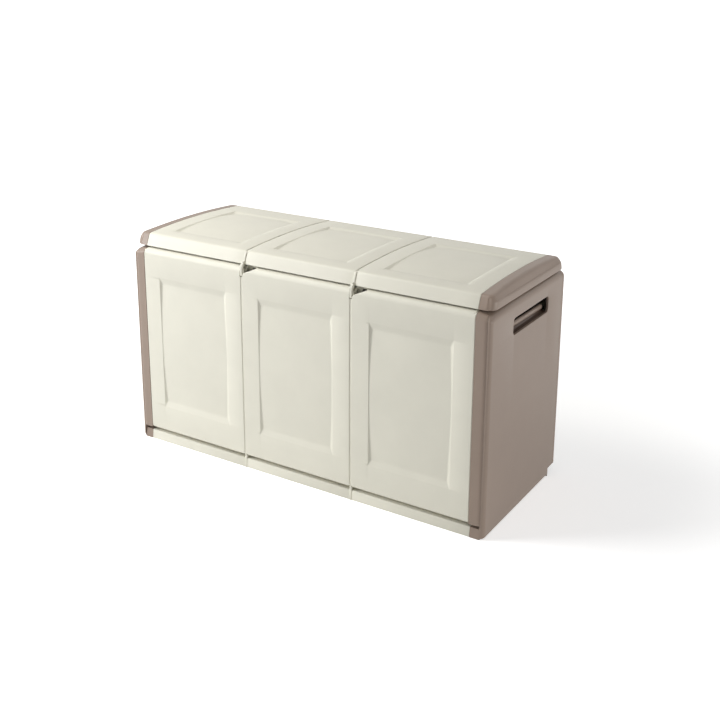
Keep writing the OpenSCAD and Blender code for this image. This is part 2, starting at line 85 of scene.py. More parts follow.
class ChestSizes(PropertyGroup):
    wall: length("Wall", 3.2, "Thickness of the moulded walls")
    edge: length("Edge", 2.8, "Radius of a panel's edge along a joint")
    shoulder: length("Shoulder", 18, "Radius of the front panels' upper edge")
    foot: length("Foot", 9, "Radius of the front panels' lower edge")
    corner: length("Corner", 7, "Radius of a panel's four corners")
    field_margin: length("Field margin", 60, "Width of the frame left and right of a sunk field")
    foot_lift: length("Foot lift", 6, "How far the front panels' visible foot lies above their frame's")
    field_low: length("Field bottom", 85, "Height of the frame below a front field")
    field_high: length("Field top", 87, "Height of the frame above a front field")
    field_depth: length("Field depth", 8, "Depth of a sunk field along its ends")
    field_middle: length("Field middle", 1.6, "Depth of a sunk field half way along")
    lid_field_front: length("Lid field front", 75, "Distance of a lid field from the chest's front")
    lid_field_rear: length("Lid field rear", 125, "Distance of a lid field from the chest's rear")
    crown: length("Crown", 2800, "Radius of the lid's crown")
    lip_edge: length("Lip edge", 12, "Radius between the lid's lip and its crown")
    lip_top: length("Lip top", 23.2, "How far the middle of that radius lies behind the lip's foot")
    end_corner: length("End corner", 16, "Radius of an end panel's upright corners")
    end_shoulder: length("End shoulder", 22, "Radius of an end panel's upper edge")
    end_foot: length("End foot", 10, "Radius of an end panel's lower edge")
    lid_corner: length("Lid corner", 26, "Radius of a lid end's upright corners")
    slot_corner: length("Slot corner", 12, "Radius of a hand slot's corners")
    slot_edge: length("Slot edge", 1.6, "Radius of a hand slot's rim")


class ChestColours(PropertyGroup):
    cream: colour("Cream", "#E4E1D3", "Resin of the panels and the lid")
    taupe: colour("Taupe", "#968477", "Resin of the end pieces")
    # Painted shade: the grip cups are the end panels' taupe resin, and this dark brown stands for the deep
    # shade inside the hand slots
    grip: colour("Grip", "#45342A", "Resin of the cups behind the hand slots")
    steel: colour("Steel", "#B4B6B8", "Drawn rod of the hinge pins")
    floor: colour("Floor", "#F4F4F4", "Studio floor")


def mm(name):
    """Size from the panel in the sidebar, in millimetres."""
    return getattr(bpy.context.scene.chest_sizes, name) / MM


def reach(node):
    """Lowest and highest corner of a CAD node in millimetres."""
    low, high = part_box(node)
    return Vector(low) / MM, Vector(high) / MM


def joint_place(name):
    """Where the left or right joint between the panels lies along the chest."""
    low, high = reach(f"front_joiner_{name}")
    return (low.x + high.x) / 2


# Places of the frame that several pieces share, in millimetres

JOINTS = {name: joint_place(name) for name in ("left", "right")}
MODULE = JOINTS["right"] - JOINTS["left"]
PLACES = {"left": -1, "centre": 0, "right": 1}
HALF_DEPTH = 255  # from the chest's middle to its front and rear
LID_FOOT = 654
PLINTH_TOP, PLINTH_FRONT, PLINTH_TOE = 30, -250, -253.6  # its height, and y of its face's top and foot
GROOVE_BACK = -222
HINGE_SPACING, HINGE_Y, HINGE_Z = 220, 246, 655
KNUCKLE, KNUCKLE_HALF, PIN_ROOM = 7, 10, 3.3  # a knuckle's radius and half length, the room for its pin
RIB = 1.5  # half the thickness of an inner rib
LID_RIB, LID_RIB_FOOT = 227, 648.4  # where the lid's inner ribs stand, and their foot
NOTCH_LOW, NOTCH_HIGH = 617.5, 621
SCOOP_BACK = -228
# Outline of the notch and finger scoop right of a joint, as (x from the joint, z)
SCOOP = [(-4.6, NOTCH_LOW), (4.9, NOTCH_LOW), (4.9, NOTCH_HIGH), (8.4, 630), (15, 632.6), (28, 637.4),
         (46, 646.5)]


# Mesh helpers, all in millimetres


def once(items):
    """Items without repeats, in their own order."""
    return list(dict.fromkeys(items))


def of_kind(geom, kind):
    """The faces, edges or vertices among what an operator made."""
    return [g for g in geom if isinstance(g, kind)]


def faces_at(bm, test):
    """The faces whose middle passes a test."""
    return [f for f in bm.faces if test(f.calc_center_median())]


def with_parts(faces):
    """Faces with their edges and vertices."""
    return faces + once(e for f in faces for e in f.edges) + once(v for f in faces for v in f.verts)


def soften(bm, edges, width, segments=2):
    """Bevels these edges."""
    bmesh.ops.bevel(bm, geom=edges, offset=width, offset_type="OFFSET", segments=segments, profile=0.5,
                    affect="EDGES", material=-1, clamp_overlap=True)


def add_block(bm, low, high, edge=0.0):
    """Adds a separate box from low to high, with bevelled edges, to the mesh."""
    verts = bmesh.ops.create_cube(bm, size=1)["verts"]
    for v in verts:
        v.co = [high[i] if v.co[i] > 0 else low[i] for i in range(3)]
    if edge:
        soften(bm, once(e for v in verts for e in v.link_edges), edge)


def block(low, high, cuts):
    """Box from low to high, sliced across each axis at the places in cuts."""
    bm = bmesh.new()
    add_block(bm, low, high)
    for axis, places in enumerate(cuts):
        slice_at(bm, axis, places)
    return bm


def slice_at(bm, axis, places):
    """Cuts the mesh across an axis at each place."""
    normal = Vector([i == axis for i in range(3)])
    for place in sorted(set(places)):
        geom = bm.verts[:] + bm.edges[:] + bm.faces[:]
        bmesh.ops.bisect_plane(bm, geom=geom, dist=1e-4, plane_co=normal * place, plane_no=normal)


def arc(face, sign, radius, steps):
    """Places of the slices that make a round of that radius before a face, even in angle."""
    return [face - sign * radius * (1 - math.tan(k * math.pi / 4 / steps)) for k in range(steps)]


def ramp(start, direction, run=15, steps=9):
    """Places of the slices across a sunk field's wall."""
    return [start + direction * run * (k / steps) ** 1.25 for k in range(steps + 1)]


def rounded(first, second, radius):
    """Distances inside two faces of a place near their edge, once a round of that radius is on it."""
    q = 1 - first / radius, 1 - second / radius
    if min(q) <= 1e-6:
        return first, second
    shrink = max(q) / math.hypot(*q)
    return radius * (1 - q[0] * shrink), radius * (1 - q[1] * shrink)


def sides(low, high, axis):
    """The two sides of a block across an axis, each as (axis, place, outward sign)."""
    return (axis, low[axis], -1), (axis, high[axis], 1)


def round_over(verts, first, second, radius):
    """Rounds the edge where two sides of a block meet."""
    for v in verts:
        inside = [sign * (place - v.co[axis]) for axis, place, sign in (first, second)]
        for (axis, place, sign), depth in zip((first, second), rounded(*inside, radius)):
            v.co[axis] = place - sign * depth


def soft_min(a, b, blend):
    """The lower of two heights, with a rounded change from one to the other."""
    h = max(blend - abs(a - b), 0) / blend
    return min(a, b) - h * h * blend / 4


def sunk(across, along, half_across, half_along, deep, middle):
    """Depth of a sunk field at a place measured from its middle. Its left wall is the steepest, and
    its floor is deepest in the corners and rises to nearly flush half way along."""
    left_slope, right_slope, end_slope, blend = 0.85, 0.5, 0.3, 0.7
    side, end = half_across - abs(across), half_along - abs(along)
    if min(side, end) <= 0:
        return 0
    wall = min(side * (left_slope if across < 0 else right_slope), end * end_slope)
    bowl = (along / half_along) ** 2 * (0.1 + 0.9 * (across / half_across) ** 2)
    return max(soft_min(wall, middle + (deep - middle) * bowl, blend), 0)


def add_bar(bm, section, start, end, edge, axis=0):
    """Adds a bar from start to end along an axis, with a section in the other two and bevelled edges."""
    old = set(bm.faces)
    ring = [bm.verts.new((*pair[:axis], start, *pair[axis:])) for pair in section]
    made = bmesh.ops.extrude_face_region(bm, geom=[bm.faces.new(ring)])["geom"]
    for v in of_kind(made, BMVert):
        v.co[axis] = end
    faces = [f for f in bm.faces if f not in old]
    bmesh.ops.recalc_face_normals(bm, faces=faces)
    soften(bm, once(e for f in faces for e in f.edges if e.calc_face_angle(0) > 0.6), edge)


def add_ring(bm, x0, x1, y, z, inner, outer, chamfer=0.8, steps=40):
    """Adds a ring along X, turned from its half section, such as a hinge knuckle."""
    old = set(bm.faces)
    points = [(x0, inner), (x0, outer - chamfer), (x0 + chamfer, outer), (x1 - chamfer, outer),
              (x1, outer - chamfer), (x1, inner)]
    verts = [bm.verts.new((px, y, z + r)) for px, r in points]
    edges = [bm.edges.new((verts[i - 1], verts[i])) for i in range(len(verts))]
    bmesh.ops.spin(bm, geom=verts + edges, cent=(0, y, z), axis=(1, 0, 0), dvec=(0, 0, 0),
                   angle=math.tau, steps=steps, use_merge=True, use_duplicate=False)
    bmesh.ops.recalc_face_normals(bm, faces=[f for f in bm.faces if f not in old])


def thicken(bm, wall=None):
    """Gives an open skin its wall, inwards: an inner skin and a rim that joins the two."""
    wall = wall or mm("wall")
    bm.normal_update()
    inwards = {v: -v.normal * wall * min(v.calc_shell_factor(), 1.5) for v in bm.verts}
    rims = [e for e in bm.edges if e.is_boundary]
    copies = bmesh.ops.duplicate(bm, geom=bm.verts[:] + bm.edges[:] + bm.faces[:])
    for v, copy in copies["vert_map"].items():
        if v in inwards:
            copy.co += inwards[v]
    bmesh.ops.reverse_faces(bm, faces=of_kind(copies["geom"], BMFace))
    made = bmesh.ops.extrude_edge_only(bm, edges=rims)["geom"]
    for new in of_kind(made, BMVert):
        source = next(e.other_vert(new) for e in new.link_edges if e.other_vert(new) in inwards)
        new.co += inwards[source]
    bmesh.ops.remove_doubles(bm, verts=bm.verts, dist=1e-4)


def flip(bm, axis):
    """Mirrors the mesh and keeps its faces outwards."""
    factor = [1, 1, 1]
    factor[axis] = -1
    bmesh.ops.scale(bm, vec=factor, verts=bm.verts)
    bmesh.ops.reverse_faces(bm, faces=bm.faces)


def new_object(name, data):
    """Puts an object with this data in the scene."""
    thing = bpy.data.objects.new(name, data)
    bpy.context.scene.collection.objects.link(thing)
    return thing


def mesh_object(bm, name, material):
    """Makes the mesh an object with its material."""
    mesh = bpy.data.meshes.new(name)
    bm.to_mesh(mesh)
    bm.free()
    mesh.materials.append(material)
    return new_object(name, mesh)


def finish(bm, name, body, slot, nodes=()):
    """Makes the mesh a piece on its body, with its finish, in place of its CAD nodes."""
    bmesh.ops.scale(bm, vec=(MM, MM, MM), verts=bm.verts)
    for face in bm.faces:
        face.smooth = True
    for edge in bm.edges:
        edge.smooth = len(edge.link_faces) == 2 and edge.calc_face_angle(0) < math.radians(38)
    piece = mesh_object(bm, name, finish_of(slot))
    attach(piece, body)
    if nodes:
        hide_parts(*nodes)


def add_both_ends(body, *rows):
    """Makes pieces of the right end, and of the left one as their mirror images, from rows of
    function, name, slot and the CAD node that the piece replaces."""
    for end in ("right", "left"):
        for make, name, slot, node in rows:
            bm = make()
            if end == "left":
                flip(bm, 0)
            finish(bm, f"{name}_{end}", body, slot, [node.format(end)] if node else ())


# Materials


def add_node(tree, kind, inputs=(), **settings):
    """Adds a shader node with its settings. An input is given a value, an output that it is linked
    to, or a node whose first output it is linked to."""
    node = tree.nodes.new("ShaderNode" + kind)
    for key, value in settings.items():
        setattr(node, key, value)
    for key, value in dict(inputs).items():
        if isinstance(value, Node):
            value = value.outputs[0]
        if isinstance(value, NodeSocket):
            tree.links.new(value, node.inputs[key])
        else:
            node.inputs[key].default_value = value
    return node


def empty_tree(owner):
    """The node tree of a material or world, emptied."""
    owner.use_nodes = True
    owner.node_tree.nodes.clear()
    return owner.node_tree


def moulded_resin(name, base, roughness):
    """Polypropylene, injection moulded in a spark-eroded tool: an even colour that clouds a little
    where the melt flowed, a satin sheen and a fine matt grain."""
    material = bpy.data.materials.new(name)
    tree = empty_tree(material)
    place = add_node(tree, "TexCoord").outputs["Object"]
    # Flow clouds about 90 mm across
    clouds = add_node(tree, "TexNoise", {"Vector": place, "Scale": 11, "Detail": 3, "Roughness": 0.55})
    pale = [min(c * 1.03, 1) for c in base] + [1]
    deep = [c * 0.94 for c in base] + [1]
    shade = add_node(tree, "Mix", {"Factor": clouds, 6: deep, 7: pale}, data_type="RGBA")
    # Eroded grain, 1.5 mm between its pits
    grain = add_node(tree, "TexNoise", {"Vector": place, "Scale": 660, "Detail": 2})
    # Shrinkage waves about 160 mm long, a fraction of a millimetre deep
    waves = add_node(tree, "TexNoise", {"Vector": place, "Scale": 6, "Detail": 1})
    sheen = add_node(tree, "MapRange", {
        "Value": grain, "From Min": 0.3, "From Max": 0.7,
        "To Min": roughness - 0.05, "To Max": roughness + 0.07})
    wavy = add_node(tree, "Bump", {"Height": waves, "Strength": 0.12, "Distance": 0.002})
    bump = add_node(tree, "Bump", {"Height": grain, "Strength": 0.1, "Distance": 0.0004, "Normal": wavy})
    shader = add_node(tree, "BsdfPrincipled", {
        "Base Color": shade.outputs[2], "Roughness": sheen, "IOR": 1.49, "Normal": bump})
    add_node(tree, "OutputMaterial", {"Surface": shader})
    return material


def drawn_steel(name, base):
    """Zinc-plated steel rod, drawn through a die: bright, with fine scratches along its length."""
    material = bpy.data.materials.new(name)
    tree = empty_tree(material)
    place = add_node(tree, "TexCoord").outputs["Object"]
    along = add_node(tree, "Mapping", {"Vector": place, "Scale": (0.04, 1, 1)})
    # Die scratches 0.5 mm apart
    lines = add_node(tree, "TexNoise", {"Vector": along, "Scale": 2000, "Detail": 2})
    sheen = add_node(tree, "MapRange", {"Value": lines, "To Min": 0.22, "To Max": 0.42})
    bump = add_node(tree, "Bump", {"Height": lines, "Strength": 0.2, "Distance": 0.0001})
    shader = add_node(tree, "BsdfPrincipled", {
        "Base Color": list(base) + [1], "Metallic": 1, "Roughness": sheen, "Normal": bump})
    add_node(tree, "OutputMaterial", {"Surface": shader})
    return material


# The grip finish is taupe resin painted dark brown, as painted shade inside the hand slots' cups
FINISHES = {"cream": ("cream_moulded_polypropylene", 0.46), "taupe": ("taupe_moulded_polypropylene", 0.42),
            "grip": ("painted_shade_brown_polypropylene", 0.5), "pin": ("drawn_zinc_plated_steel", None)}


def finish_of(slot):
    """The material of a slot, made at its first use."""
    name, roughness = FINISHES[slot]
    if name in bpy.data.materials:
        return bpy.data.materials[name]
    colours = bpy.context.scene.chest_colours
    if slot == "pin":
        return drawn_steel(name, colours.steel)
    return moulded_resin(name, getattr(colours, slot), roughness)


# Body


def scoop_floor(x):
    """Height of the scoop's floor at x from its joint."""
    for (x0, z0), (x1, z1) in zip(SCOOP, SCOOP[1:]):
        if x0 <= x <= x1 and x1 > x0:
            return z0 + (z1 - z0) * (x - x0) / (x1 - x0)
    return math.inf


def cut_scoop(bm, joint):
    """Opens the notch and scoop beside a joint and lines them with walls."""
    for (x0, z0), (x1, z1) in zip(SCOOP[2:], SCOOP[3:]):
        near = faces_at(bm, lambda c: joint + x0 < c.x < joint + x1 and c.z > 600 and c.y < SCOOP_BACK)
        bmesh.ops.bisect_plane(bm, geom=with_parts(near), dist=1e-4, plane_co=(joint + x0, 0, z0),
                               plane_no=(z0 - z1, 0, x1 - x0))
    inside = faces_at(bm, lambda c: c.y < SCOOP_BACK + 1e-3 and c.z > scoop_floor(c.x - joint))
    rim = once(e for f in inside for e in f.edges)
    bmesh.ops.delete(bm, geom=inside, context="FACES")
    rim = [e for e in rim if e.is_valid and e.is_boundary]
    # The rim's edges that run along the outline, not from front to back, get a wall
    outline = []
    for e in rim:
        a, b = (v.co for v in e.verts)
        across = abs(a.x - b.x) < 1e-3 and abs(a.z - b.z) < 1e-3
        behind = max(abs(a.y - SCOOP_BACK), abs(b.y - SCOOP_BACK)) < 1e-3
        if not across and not behind:
            outline.append(e)
    steps = sorted({round(v.co.y, 3) for e in rim for v in e.verts})
    made = bmesh.ops.extrude_edge_only(bm, edges=outline)["geom"]
    for v in of_kind(made, BMVert):
        v.co.y = SCOOP_BACK
    walls = set(of_kind(made, BMFace))
    for y in steps[:-1]:
        chosen = [f for f in bm.faces if f in walls]
        cut = bmesh.ops.bisect_plane(bm, geom=with_parts(chosen), dist=1e-4, plane_co=(0, y, 0),
                                     plane_no=(0, 1, 0))
        walls.update(of_kind(cut["geom"], BMFace))
    bmesh.ops.remove_doubles(bm, verts=bm.verts, dist=0.02)
    bmesh.ops.recalc_face_normals(bm, faces=bm.faces)


def face_panel(low, high, middle, joints=()):
    """Panel with its face to the front: shoulder, foot, corners, sunk field, walls and ribs."""
    corner, edge, shoulder, foot = mm("corner"), mm("edge"), mm("shoulder"), mm("foot")
    half = MODULE / 2 - mm("field_margin")
    field_low, field_high = low.z + mm("field_low"), high.z - mm("field_high")
    field_middle, half_height = (field_low + field_high) / 2, (field_high - field_low) / 2
    xs, zs = [], []
    for _, place, sign in sides(low, high, 0):
        xs += arc(place, sign, corner, 4) + arc(place, sign, edge, 3)
    for place, sign, radius in ((low.z, -1, foot), (high.z, 1, shoulder)):
        zs += arc(place, sign, radius, 6) + arc(place, sign, corner, 4)
    for side in (-1, 1):
        xs += ramp(middle + side * half, -side)
        zs += ramp(field_middle + side * half_height, -side, 36, 10)
    zs += [field_middle + half_height * k / 9 for k in range(-8, 9)]
    ys = arc(low.y, -1, shoulder, 6) + arc(low.y, -1, foot, 6) + arc(low.y, -1, edge, 3)
    for joint in joints:
        xs += [joint + x for x, z in SCOOP if low.x + 1 < joint + x < high.x - 1]
        zs += [NOTCH_LOW, NOTCH_HIGH]
        ys += [SCOOP_BACK]
    bm = block(low, high, (xs, ys, zs))
    bmesh.ops.delete(bm, geom=[f for f in bm.faces if f.normal.y > 0.5], context="FACES")
    front, (bottom, top) = (1, low.y, -1), sides(low, high, 2)
    for upright in sides(low, high, 0):
        round_over(bm.verts, upright, front, edge)
    round_over(bm.verts, front, top, shoulder)
    round_over(bm.verts, front, bottom, foot)
    for upright in sides(low, high, 0):
        for level in (bottom, top):
            round_over(bm.verts, upright, level, corner)
    depths = mm("field_depth"), mm("field_middle")
    for v in bm.verts:
        if v.co.y < low.y + 0.01:
            v.co.y += sunk(v.co.x - middle, v.co.z - field_middle, half, half_height, *depths)
    for joint in joints:
        cut_scoop(bm, joint)
    thicken(bm)
    rib_front, third = low.y + 7.5, (high.z - low.z) / 3
    for x in (middle - MODULE / 6, middle + MODULE / 6):
        add_block(bm, (x - RIB, rib_front, low.z + 2), (x + RIB, high.y - 3, high.z - 2))
    for z in (low.z + third, low.z + third * 2):
        add_block(bm, (low.x + 2, rib_front, z - RIB), (high.x - 2, high.y - 3.1, z + RIB))
    return bm


def hinge_places(middle):
    """Where the two hinges of a panel lie along the chest."""
    return middle - HINGE_SPACING / 2, middle + HINGE_SPACING / 2


class CHEST_OT_front_panels(Operator):
    """Make the three front panels with their sunk fields and finger scoops"""

    bl_idname = "chest.front_panels"
    bl_label = "Front Panels"

    def execute(self, context):
        for name, place in PLACES.items():
            low, high = reach(f"front_panel_{name}")
            low.z += mm("foot_lift")
            joints = [x for x in JOINTS.values() if abs(x - place * MODULE) < MODULE]
            bm = face_panel(low, high, place * MODULE, joints)
            finish(bm, f"front_skin_{name}", "body", "cream", [f"front_panel_{name}"])
        return {"FINISHED"}


class CHEST_OT_back_panels(Operator):
    """Make the three back panels with the body's hinge knuckles"""

    bl_idname = "chest.back_panels"
    bl_label = "Back Panels"

    def execute(self, context):
        for name, place in PLACES.items():
            low, high = reach(f"front_panel_{name}")
            bm = face_panel(low, high, place * MODULE)
            flip(bm, 1)
            for x in hinge_places(place * MODULE):
                for middle in (x - 20.5, x + 20.5):
                    x0, x1, foot = middle - KNUCKLE_HALF, middle + KNUCKLE_HALF, 637
                    add_ring(bm, x0, x1, HINGE_Y, HINGE_Z, 3.02, KNUCKLE)
                    for y0, y1 in ((-KNUCKLE, -PIN_ROOM), (PIN_ROOM, KNUCKLE)):
                        add_block(bm, (x0, HINGE_Y + y0, foot), (x1, HINGE_Y + y1, HINGE_Z), 0.5)
                    add_block(bm, (x0, HINGE_Y - 4, foot), (x1, HINGE_Y + 4, HINGE_Z - PIN_ROOM), 0.5)
            finish(bm, f"back_skin_{name}", "body", "cream", [f"back_panel_{name}"])
        return {"FINISHED"}


def around(x, y, half_x, half_y, radius):
    """Where a place lies on a plan with rounded corners: its turn from front (0) to side (1), its
    outward direction and its distance inside the outline."""
    ax, ay = x - half_x + radius, abs(y) - half_y + radius
    sign = -1 if y < 0 else 1
    if ax > 0 and ay > 0:
        angle = math.atan2(ax, ay)
        out = Vector((math.sin(angle), sign * math.cos(angle)))
        return angle / (math.pi / 2), out, radius - math.hypot(ax, ay)
    if ax > ay:
        return 1, Vector((1, 0)), half_x - x
    return 0, Vector((0, sign)), half_y - abs(y)


def crease(place, middle, width, deep):
    """Depth of a soft crease at a distance from its middle."""
    return deep * math.exp(-((place - middle) / width) ** 2)


def end_panel():
    """Right end: strips at front and rear, rounded corners, slot, groove, plinth and inner ribs."""
    low, high = reach("right_end_panel")
    low.x += 5  # the strip starts outside the plinth's end
    wall, radius, foot = mm("wall"), mm("end_corner"), mm("end_foot")
    shoulder, strip_shoulder, round_slot = mm("end_shoulder"), mm("shoulder"), mm("slot_corner")
    groove_end, groove_top, strip_y = 607, 35 + mm("foot_lift"), -200
    recess_y, recess_z = 197, 26  # the recess at the rear foot
    rim_x, rim_y = 588, 223  # the inner edge of the rim that the lid rests on
    rim_fall, rear_fall, fall_width, fall_height = 10, 3, 52, 45
    slot_low, slot_high = Vector((0, -112, 550)), Vector((0, 130, 598))
    crease_x, crease_y = high.x - radius + 5, high.y - radius - 1
    fine = [-6, -4.6, -3.4, -2.4, -1.5, -0.7, 0, 0.7, 1.5, 2.4, 3.4, 4.6]
    xs = arc(high.x, 1, radius, 9) + arc(high.x, 1, shoulder, 7)
    xs += [crease_x + c for c in fine] + [rim_x, groove_end]
    ys = [recess_y, slot_low.y, slot_high.y]
    for side in (-1, 1):
        ys += arc(side * high.y, side, radius, 9) + arc(side * high.y, side, strip_shoulder, 7)
        ys += [side * rim_y]
    zs = arc(high.z, 1, shoulder, 8) + arc(high.z, 1, strip_shoulder, 8)
    zs += [low.z + foot * (1 - math.cos(math.pi * k / 12)) for k in range(1, 7)]
    zs += [PLINTH_TOP, groove_top, recess_z, slot_low.z, slot_high.z, (low.z + high.z) / 2]
    for axis, places in ((1, ys), (2, zs)):
        for _, place, sign in sides(slot_low, slot_high, axis):
            places += arc(place, sign, round_slot, 5)
    bm = block(low, high, (xs, ys, zs))
    gone = []
    for f in bm.faces:
        c, n = f.calc_center_median(), f.normal
        hidden = n.x < -0.5 or n.z < -0.5
        open_top = n.z > 0.5 and c.x < rim_x and abs(c.y) < rim_y
        slot = n.x > 0.5 and slot_low.y < c.y < slot_high.y and slot_low.z < c.z < slot_high.z
        base = n.y < -0.5 and c.x < groove_end and c.z < groove_top
        recess = c.y > recess_y and c.z < recess_z
        if hidden or open_top or slot or base or recess:
            gone.append(f)
    bmesh.ops.delete(bm, geom=gone, context="FACES")
    # Corners of the slot
    hole = [v for v in bm.verts if v.co.x > high.x - 0.01
            and all(slot_low[i] - 0.01 < v.co[i] < slot_high[i] + 0.01 for i in (1, 2))]
    for upright in sides(slot_low, slot_high, 1):
        for level in sides(slot_low, slot_high, 2):
            round_over(hole, upright, level, round_slot)
    slot_rim = [e for e in bm.edges if e.is_boundary and all(v in hole for v in e.verts)]
    # Upright corners, then shoulder, foot and creases by the distance inside the outline
    for side in (-1, 1):
        round_over(bm.verts, (0, high.x, 1), (1, side * high.y, side), radius)
    for v in bm.verts:
        turn, out, inset = around(v.co.x, v.co.y, high.x, high.y, radius)
        front, down = v.co.y < 0, high.z - v.co.z
        target, drop = rounded(inset, down, strip_shoulder + (shoulder - strip_shoulder) * turn)
        rise = low.z + foot - v.co.z
        if inset < 0.01 and rise > 0:
            target += (foot - math.sqrt(max(foot ** 2 - rise ** 2, 0))) * min(turn * 4, 1)
        if target < radius:
            along = v.co.x if turn == 0 else high.x - radius + radius * math.pi / 2 * turn
            if v.co.z > groove_top - 1:
                target += crease(along, crease_x, 4.2, 3.6) * (1 if front else 0.7)
            if turn == 1 and not front:
                target += crease(v.co.y, crease_y, 3, 0.5)
        if down < fall_height:  # the rim falls towards the corner
            near = max(1 - math.hypot(v.co.x - high.x, abs(v.co.y) - high.y) / fall_width, 0)
            drop += (rim_fall if front else rear_fall) * near * (1 - down / fall_height)
        step = min(target, radius - 0.02) - inset if 0 < turn < 1 else target - inset
        v.co = (v.co.x - out.x * step, v.co.y - out.y * step, high.z - drop)
    # Slot's wall and its rounded rim
    made = bmesh.ops.extrude_edge_only(bm, edges=slot_rim)["geom"]
    for v in of_kind(made, BMVert):
        v.co.x -= 7
    soften(bm, slot_rim, mm("slot_edge"), 3)
    # Groove, plinth top and leaning plinth face
    line = [e for e in bm.edges if e.is_boundary and all(
        v.co.x < groove_end + 0.3 and v.co.y < strip_y and abs(v.co.z - groove_top) < 0.01
        for v in e.verts)]
    for y, z in ((GROOVE_BACK, groove_top), (GROOVE_BACK, PLINTH_TOP), (PLINTH_FRONT, PLINTH_TOP),
                 (PLINTH_TOE, low.z)):
        made = bmesh.ops.extrude_edge_only(bm, edges=line)["geom"]
        line = [e for e in of_kind(made, BMEdge) if e.is_boundary]
        for v in {v for e in line for v in e.verts}:
            v.co.y, v.co.z = y, z
        line = [e for e in line if abs(e.verts[0].co.x - e.verts[1].co.x) > 1e-4]
    gap = [e for e in bm.edges if e.is_boundary and max(v.co.z for v in e.verts) > low.z + 0.01 and all(
        v.co.x > groove_end - 4 and v.co.y < strip_y and v.co.z < groove_top + 0.01 for v in e.verts)]
    bmesh.ops.contextual_create(bm, geom=gap)
    for v in bm.verts:
        if v.co.x < low.x + 0.01 and v.co.y < strip_y and v.co.z < PLINTH_TOP + 0.01:
            v.co.x += 3
    bmesh.ops.recalc_face_normals(bm, faces=bm.faces)
    thicken(bm)
    for v in bm.verts:
        v.co.z = max(v.co.z, low.z)
    # Recess, ribs and floor
    add_block(bm, (low.x, recess_y - wall, low.z), (high.x - 0.4, recess_y, recess_z + wall))
    add_block(bm, (low.x, recess_y - wall, recess_z), (high.x - 3, high.y - 3, recess_z + wall), 0.5)
    for y in (-170, -85, 0, 85, 170):
        add_block(bm, (high.x - 10, y - RIB, 32), (high.x - RIB, y + RIB, 538))
    add_block(bm, (low.x, GROOVE_BACK, 31.5), (high.x - 2, recess_y, 35))
    # Inner walls of the front and rear strips, and the rim's inner lip
    for side in (-1, 1):
        inner = sorted((side * rim_y, side * (rim_y + 3)))
        add_block(bm, (low.x, inner[0], 35), (rim_x + 3, inner[1], high.z - 2))
    add_block(bm, (rim_x, -rim_y, high.z - 14), (rim_x + 2.6, rim_y, high.z - 1.2), 0.5)
    return bm


class CHEST_OT_end_panels(Operator):
    """Make the two end panels with their hand slots"""

    bl_idname = "chest.end_panels"
    bl_label = "End Panels"

    def execute(self, context):
        add_both_ends("body", (end_panel, "end_shell", "taupe", "{}_end_panel"))
        return {"FINISHED"}


# Lid


def lid_shape():
    """Angles and runs of the lid's section: crown, edge radius and leaning lip."""
    low, high = reach("lid_panel_centre")
    foot = Vector((-low.y, LID_FOOT))
    crown_r, lip_r = mm("crown"), mm("lip_edge")
    centre_y = foot.x - mm("lip_top")
    crown_z = high.z - crown_r
    centre = Vector((centre_y, crown_z + math.sqrt(crown_r ** 2 - centre_y ** 2) - lip_r))
    run = centre - foot
    lean = math.atan2(run.y, -run.x) + math.asin(lip_r / run.length)
    crown_angle = math.asin(centre_y / (crown_r - lip_r))
    touch = centre + lip_r * Vector((math.sin(lean), math.cos(lean)))
    lip_start, lip_run = crown_r * crown_angle + lip_r * (lean - crown_angle), (touch - foot).length
    return SimpleNamespace(
        foot=foot, centre=centre, lean=lean, crown_angle=crown_angle, touch=touch, crown_z=crown_z,
        crown_r=crown_r, lip_r=lip_r, crown_run=crown_r * crown_angle, lip_start=lip_start,
        lip_run=lip_run, total=lip_start + lip_run)


def lid_point(s, shape):
    """Point (y, z) of the lid's outside and its outward normal, s millimetres across from the middle."""
    side, run = (1 if s >= 0 else -1), abs(s)
    if run <= shape.crown_run:
        angle = run / shape.crown_r
        base, radius = Vector((0, shape.crown_z)), shape.crown_r
    else:
        angle = min(shape.crown_angle + (run - shape.crown_run) / shape.lip_r, shape.lean)
        base, radius = shape.centre, shape.lip_r
    normal = Vector((math.sin(angle), math.cos(angle)))
    point = base + normal * radius
    if run > shape.lip_start:
        point += (run - shape.lip_start) * Vector((math.cos(shape.lean), -math.sin(shape.lean)))
    return Vector((side * point.x, point.y)), Vector((side * normal.x, normal.y))


def lid_sheet(x0, x1, shape, x_cuts=(), s_cuts=(), sink=None, edge=2.2, turn=8.5, inset=0.0):
    """Sheet over the lid's section from x0 to x1, whose ends turn down into the joints."""
    total, bend, round_run = shape.total, edge * math.pi / 2, shape.lip_start - shape.crown_run
    spread = bend + turn
    far0, far1 = x0 + edge - spread, x1 - edge + spread
    bm = bmesh.new()
    bmesh.ops.create_grid(bm, x_segments=1, y_segments=1, size=1)
    for v in bm.verts:
        v.co = (far1 if v.co.x > 0 else far0, total if v.co.y > 0 else -total, 0)
    bends = [bend * k / 4 for k in range(5)]
    slice_at(bm, 0, list(x_cuts) + [x0 + edge - b for b in bends] + [x1 - edge + b for b in bends])
    stations = [0, *s_cuts]
    for side in (-1, 1):
        stations += [side * shape.crown_run * k / 10 for k in range(1, 10)]
        stations += [side * (shape.crown_run + round_run * k / 7) for k in range(8)]
        stations += [side * (total - shape.lip_run * k / 3) for k in range(1, 3)]
    slice_at(bm, 1, stations)
    for v in bm.verts:
        x, s = v.co.x, v.co.y
        point, normal = lid_point(s, shape)
        depth = inset + (sink(x, s) if sink else 0)
        over = max(x0 + edge - x, x - x1 + edge)
        if over > 1e-6:
            end, out = (x1, 1) if x > (x0 + x1) / 2 else (x0, -1)
            angle = min(over / edge, math.pi / 2)
            depth += edge * (1 - math.cos(angle)) + max(over - bend, 0)
            x = end - out * edge * (1 - math.sin(angle))
        point = point - normal * depth
        v.co = (x, point.x, point.y)
    return bm


